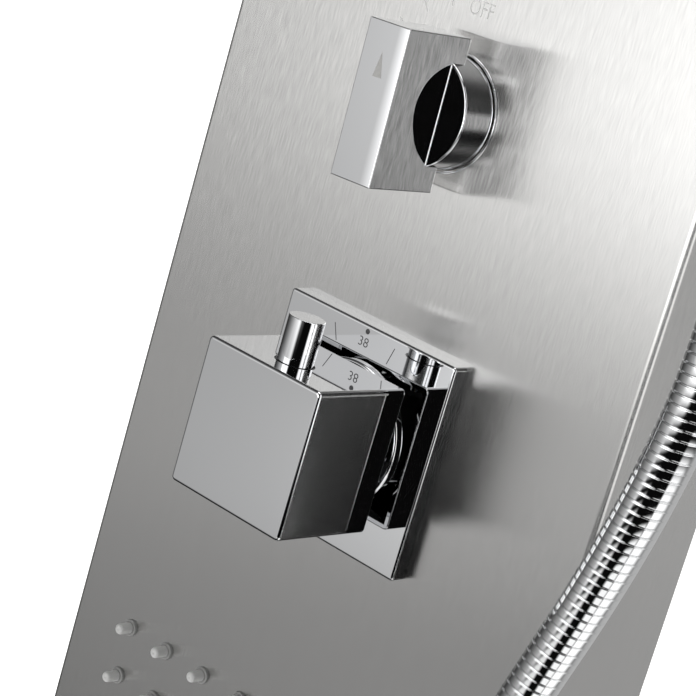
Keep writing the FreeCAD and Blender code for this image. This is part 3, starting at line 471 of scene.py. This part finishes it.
mm = 0.001
nozzle = [(0, -2.2), (2.85, -2.2), (2.85, 0.03), (2.98, 0.03), (2.98, 0.72)] + arc(2.98, 0.72, 2.66, 1.04, 4) + [(2.50, 1.04), (2.42, 0.85), (2.02, 0.85), (2.0, 1.0)]
nozzle += [(1.99, 1.6), (1.93, 5.55)] + arc(1.93, 5.55, 0.85, 6.62, 8) + [(0.62, 6.66), (0.42, 6.60), (0.25, 6.46), (0, 6.42)]
bm = bmesh.new()
for i in range(4):
    for j in range(4):
        for side in (-1, 1):
            lathe(bm, W(side * (14.4 + 19.1 * i), 0, -106.8 - 19.1 * j), (0, -1, 0), [(r * mm, d * mm) for r, d in nozzle])
lo, hi = W(-76, 1.55, -106.8 - 57.3 / 2 - 39), W(76, 3.05, -106.8 - 57.3 / 2 + 39)
slab = bmesh.ops.create_cube(bm, size=1.0)["verts"]
for v in slab:
    v.co = Vector([lo[k] + (v.co[k] + 0.5) * (hi[k] - lo[k]) for k in range(3)])
bmesh.ops.bevel(bm, geom=[e for e in bm.edges if e.verts[0] in slab and e.verts[1] in slab], offset=0.0004, segments=2, affect="EDGES")
jets = finish_mesh("jet_nozzles", bm, "grey_silicone", "column", jet_silicone)
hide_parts("body_nozzle_mat")


# ---- marks: thin raised print --------------------------------------------------
def mark(name, outlines, body, mat, thick=0.03):
    """Flat shapes standing a hair proud of a face that looks along -Y. Outlines are in mm from the thermostat axis, with their depth."""
    bm = bmesh.new()
    for y, pts in outlines:
        front = [bm.verts.new(W(x, y - thick, z)) for x, z in pts]
        back = [bm.verts.new(W(x, y + 0.01, z)) for x, z in pts]
        bm.faces.new(front)
        bm.faces.new(back[::-1])
        for i in range(len(pts)):
            k = (i + 1) % len(pts)
            bm.faces.new((front[i], back[i], back[k], front[k]))
    return finish_mesh(name, bm, "dark_plastic", body, mat, 20)


def bar_mark(x0, z0, x1, z1, w):
    d = Vector((x1 - x0, z1 - z0)).normalized()
    n = Vector((-d.y, d.x)) * w / 2
    return [(x0 + n.x, z0 + n.y), (x0 - n.x, z0 - n.y), (x1 - n.x, z1 - n.y), (x1 + n.x, z1 + n.y)]


def disc_mark(x, z, r, n=28):
    return [(x + r * math.cos(2 * math.pi * i / n), z + r * math.sin(2 * math.pi * i / n)) for i in range(n)]


def words(name, text, x, y, z, height, body, mat, thin=0.0, squeeze=1.0):
    """Lettering on a face that looks along -Y, centred on (x, z)."""
    c = bpy.data.curves.new(name, "FONT")
    c.body = text
    c.size = 1.0
    c.align_x, c.align_y = "CENTER", "CENTER"
    c.offset = thin
    c.extrude = 0.02
    o = bpy.data.objects.new(name, c)
    scene.collection.objects.link(o)
    bpy.context.view_layer.update()
    m = bpy.data.meshes.new_from_object(o)
    bpy.data.objects.remove(o)
    co = np.array([v.co[:] for v in m.vertices])
    lo, hi = co.min(0), co.max(0)
    k = height / (hi[1] - lo[1])
    mid = (lo + hi) / 2
    for v in m.vertices:
        p = v.co - Vector(mid)
        v.co = W(x + p.x * k * squeeze, y - 0.015 - p.z / 0.02 * 0.015, z + p.y * k)
    bm = bmesh.new()
    bm.from_mesh(m)
    bpy.data.meshes.remove(m)
    bmesh.ops.remove_doubles(bm, verts=bm.verts, dist=1e-6)
    return finish_mesh(name, bm, "dark_plastic", body, mat, 20)


PLATE, PANEL, BAR = -6.2, 0.0, -38.8
words("mark_38", "38", -1.6, PLATE, 31.2, 3.1, "column", ink, thin=-0.010)
mark("mark_scale", [
    (PLATE, disc_mark(-1.1, 34.9, 0.9)),
    (PLATE, bar_mark(-15.3, 32.8, -12.8, 27.4, 0.28)),
    (PLATE, bar_mark(11.5, 33.8, 9.9, 27.9, 0.28)),
], "column", ink)
words("mark_off", "OFF", 1.6, PANEL, 145.0, 5.15, "column", etch, thin=-0.008, squeeze=0.77)
ticks = []
for deg in (17.8, 35.3, 52.5):
    a = math.radians(90 + deg)
    ca, sa = math.cos(a), math.sin(a)
    ticks.append((PANEL, bar_mark(33.5 * ca, 110.7 + 33.5 * sa, 37.5 * ca, 110.7 + 37.5 * sa, 0.5)))
mark("mark_ticks", ticks, "column", etch)
mark("mark_arrow", [(BAR, [(-0.65, 126.7), (-1.97, 118.6), (1.62, 118.8)])], "diverter_handle", arrow)

# Small round fillets where the bar's sides meet the disc.
bm = bmesh.new()
ca, sa = math.cos(lean_by), math.sin(lean_by)
for side in (-1, 1):
    ends = []
    for v in (-16.2, 16.2):
        x, z = side * 8.3 * ca - v * sa, 110.7 + side * 8.3 * sa + v * ca
        ends.append((x, z))
    (x0, z0), (x1, z1) = ends
    lathe(bm, W(x0, -14.72, z0), W(x1, -14.72, z1) - W(x0, -14.72, z0), [(0, 0), (0.22 * mm, 0), (0.22 * mm, math.hypot(x1 - x0, z1 - z0) * mm), (0, math.hypot(x1 - x0, z1 - z0) * mm)], 24)
bead = finish_mesh("bar_bead", bm, "bright_chrome", "diverter_handle")

# The button's return spring: a copy with a mesh of its own, carried by the temperature handle.
spring = bpy.data.objects.new("return_spring", nodes["button_spring"].data.copy())
scene.collection.objects.link(spring)
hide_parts("button_spring")
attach(spring, "temperature_handle")
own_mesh(spring)

# ---- floor, light ---------------------------------------------------------------
floor_z = cad_lo.z - 0.03
bm = bmesh.new()
bmesh.ops.create_circle(bm, cap_ends=True, radius=40.0, segments=96)
m = bpy.data.meshes.new("floor")
bm.to_mesh(m)
bm.free()
floor = bpy.data.objects.new("floor", m)
floor.location.z = floor_z
scene.collection.objects.link(floor)
pale, net, b = material("pale_floor", Base_Color=(0.93, 0.93, 0.93, 1), Roughness=0.9)
b.inputs["Emission Color"].default_value = (1, 1, 1, 1)
b.inputs["Emission Strength"].default_value = 0.6
floor.data.materials.append(pale)
floor.visible_glossy = False
floor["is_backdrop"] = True

world = bpy.data.worlds.new("studio")
scene.world = world
world.use_nodes = True
net = Net(world.node_tree)
way = net.new("ShaderNodeTexCoord").outputs["Generated"]
split = net.new("ShaderNodeSeparateXYZ")
net.put(split.inputs[0], way)
X, Y, Z = split.outputs
turn = net.mul(net.math("ARCTAN2", X, net.mul(Y, -1.0)), 180 / math.pi)  # degrees from the front, + to the right
# Large soft panel from the left round to the front, brightest at its right end.
t = net.math("MAXIMUM", net.mul(net.add(turn, 130.0), 1 / 130.0), 0.0)
fill = net.mul(net.math("POWER", t, 2.65), 1.17, net.ease(turn, 0, 17, 1.0, 0.0), net.ease(turn, -150, -120, 0.0, 1.0))
low = net.add(net.ease(turn, -30, -18, 1.0, 0.0), net.mul(net.ease(turn, -30, -18), net.ease(Z, -0.32, -0.22)))
high = net.add(net.ease(Z, 0.10, 0.22, 1.0, 0.0), net.mul(net.ease(Z, 0.10, 0.22), net.ease(turn, -38, -28, 1.34, 2.85), net.ease(turn, -24, -8, 1.0, 0.45), net.ease(turn, 2, 12, 1.0, 0.0), net.ease(Z, 0.36, 0.46, 1.0, 0.3)))
fill = net.mul(fill, low, high, net.ease(Z, -0.48, -0.29, 0.40, 1.0), net.ease(Z, -0.75, -0.52))
# Low light in front, and a weak one beside it.
foot = net.mul(net.ease(turn, -30, -15), net.ease(turn, -3, 9, 1, 0), net.ease(Z, -0.60, -0.54), net.ease(Z, -0.43, -0.34, 1, 0), 0.86)
toe = net.mul(net.ease(turn, -42, -32), net.ease(turn, -26, -16, 1, 0), net.ease(Z, -0.35, -0.30), net.ease(Z, -0.28, -0.25, 1, 0), 0.14)
# Tall strip in front, about the horizon.
strip = net.mul(net.ease(turn, -46, -6), net.ease(turn, 18, 35, 1, 0), net.ease(Z, -0.255, -0.10), net.ease(Z, 0.05, 0.20, 1, 0), 2.6)
# Two strips on the right, one high and one low.
side = net.mul(net.ease(turn, 70, 80), net.ease(turn, 108, 135, 1, 0), net.add(net.ease(Z, -0.32, -0.27), net.ease(Z, -0.50, -0.38, 1, 0)), net.ease(Z, 0.60, 0.85, 1, 0), 1.3)
under = net.mul(net.ease(turn, 33, 46), net.ease(turn, 66, 76, 1, 0), net.ease(Z, -0.50, -0.56), net.ease(Z, -0.86, -0.80), 1.1)
# Overhead light and the pale room behind.
over = net.mul(net.ease(Z, 0.86, 0.94), 2.3)
rear = net.mul(net.ease(net.math("ABSOLUTE", turn), 110, 150), net.ease(Z, -0.9, -0.5, 0.3, 1.0), 0.45)
room = net.add(net.mul(net.ease(Z, -0.60, -0.90), 0.01), net.mul(net.ease(net.math("ABSOLUTE", turn), 80, 140), 0.03), 0.003)
total = net.add(fill, foot, toe, strip, under, side, over, rear, room)
lamp = net.new("ShaderNodeBackground")
lamp.inputs["Color"].default_value = (1.0, 1.0, 1.0, 1)
net.put(lamp.inputs["Strength"], total)
plain = net.new("ShaderNodeBackground")
plain.inputs["Color"].default_value = (1, 1, 1, 1)
pick = net.new("ShaderNodeMixShader")
net.put(pick.inputs[0], net.new("ShaderNodeLightPath").outputs["Is Camera Ray"])
net.put(pick.inputs[1], lamp.outputs[0])
net.put(pick.inputs[2], plain.outputs[0])
net.put(net.new("ShaderNodeOutputWorld").inputs["Surface"], pick.outputs[0])

# ---- sizes ------------------------------------------------------------------------
bpy.context.view_layer.update()
lo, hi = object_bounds()
print("box", [round(v, 4) for v in (*cad_lo, *cad_hi)], [round(v, 4) for v in (*lo, *hi)])
